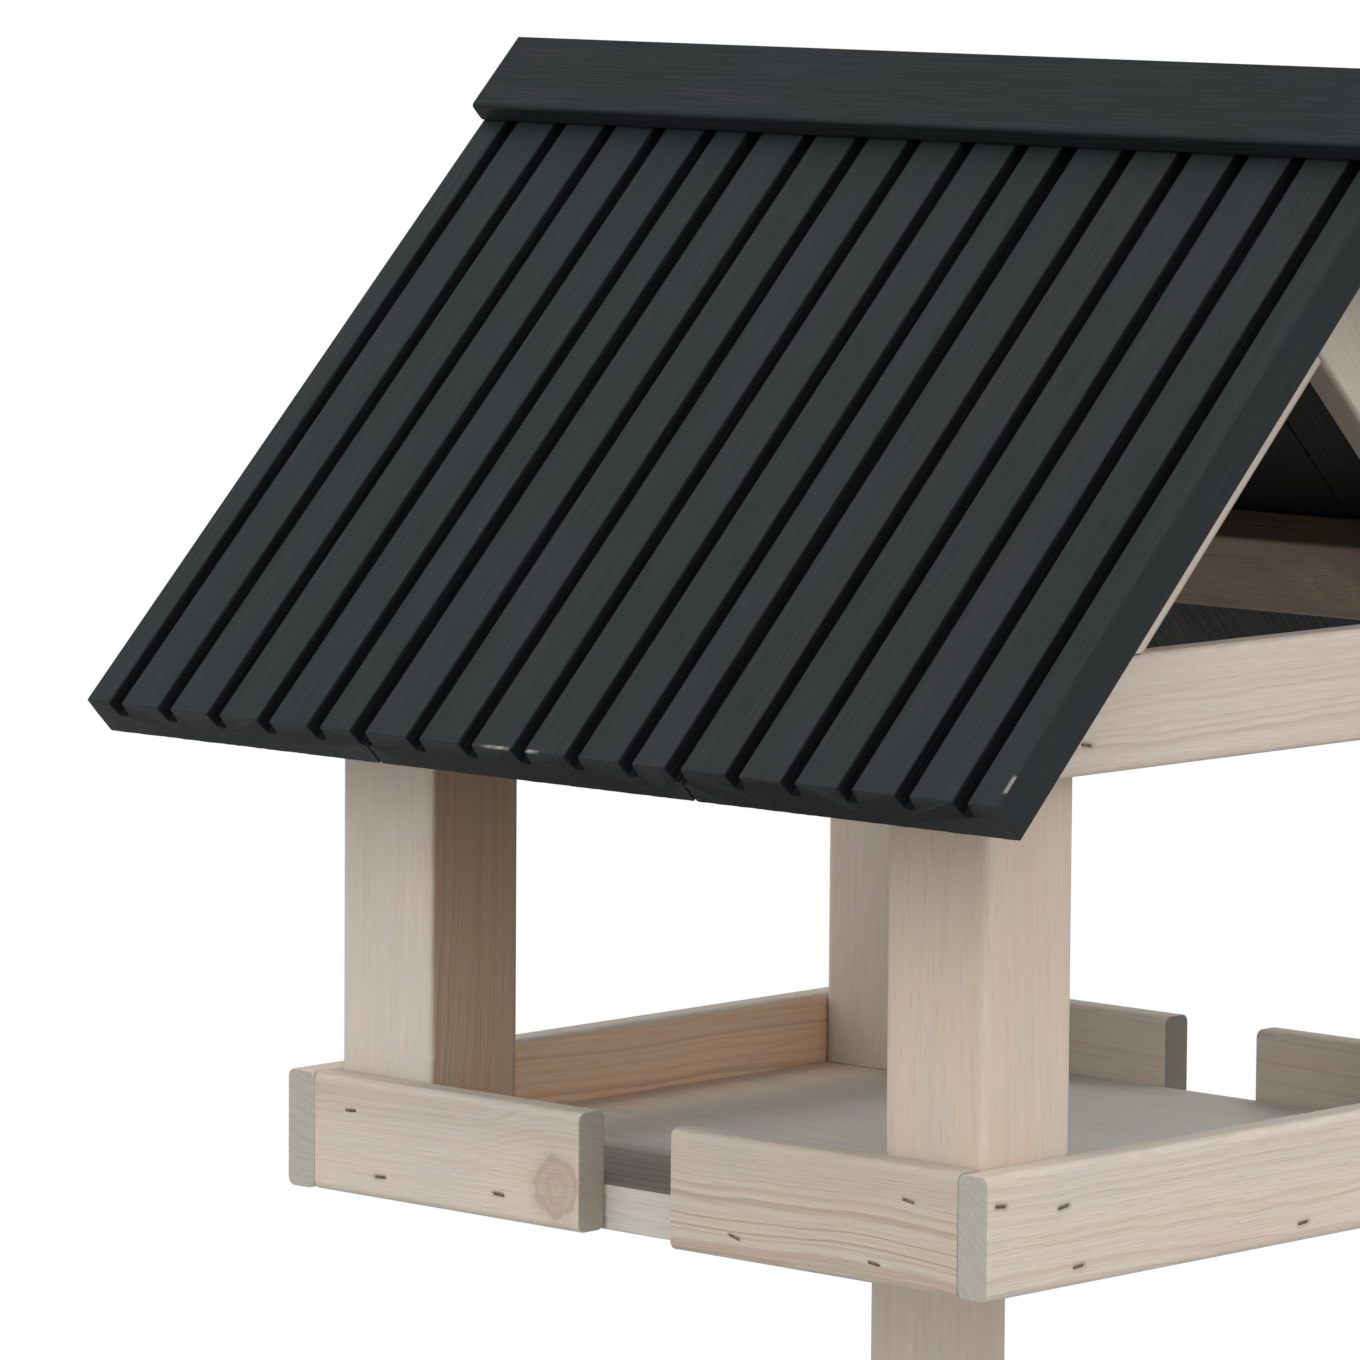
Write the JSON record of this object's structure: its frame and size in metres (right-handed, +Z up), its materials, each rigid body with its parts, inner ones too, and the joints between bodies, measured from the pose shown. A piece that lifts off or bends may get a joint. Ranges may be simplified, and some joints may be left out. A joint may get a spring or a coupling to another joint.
{
  "type": "bird feeder on a pole",
  "caption": "Free-standing wooden bird feeder: an open house with a railed floor tray and a steep grooved roof, on a pole with a braced cross foot.",
  "frame": {"origin": "on the ground under the middle of the pole", "axes": "+Z up, +X along the ridge, -Y towards the front slope"},
  "size_m": [0.48, 0.48, 1.1425],
  "materials": {
    "pale_wood": "thin whitewash stain on planed pine",
    "floor_wood": "greyed stain on a smooth panel",
    "staple_wire": "dull staple wire, darkened in the wood",
    "dark_wood": "near-black opaque stain, matt"
  },
  "bodies": {
    "root": {"foot_board_x": "pale_wood", "foot_board_y": "pale_wood", "pole": "pale_wood", "brace_front": "pale_wood", "brace_back": "pale_wood", "brace_left": "pale_wood", "brace_right": "pale_wood", "cleat_left": "pale_wood", "cleat_right": "pale_wood", "rail_left": "pale_wood", "rail_right": "pale_wood", "rail_front_left": "pale_wood", "rail_front_right": "pale_wood", "rail_back_left": "pale_wood", "rail_back_right": "pale_wood", "post_front_left": "pale_wood", "post_front_right": "pale_wood", "post_back_left": "pale_wood", "post_back_right": "pale_wood", "tie_left": "pale_wood", "tie_right": "pale_wood", "rafter_front_left": "pale_wood", "rafter_front_right": "pale_wood", "rafter_back_left": "pale_wood", "rafter_back_right": "pale_wood", "purlin_front_low": "pale_wood", "purlin_front_high": "pale_wood", "purlin_back_low": "pale_wood", "purlin_back_high": "pale_wood", "floor_board": "floor_wood", "roof_front_left": "dark_wood", "roof_front_middle": "dark_wood", "roof_front_right": "dark_wood", "roof_back_left": "dark_wood", "roof_back_middle": "dark_wood", "roof_back_right": "dark_wood", "ridge_board_front": "dark_wood", "ridge_board_back": "dark_wood"}
  },
  "joints": []
}
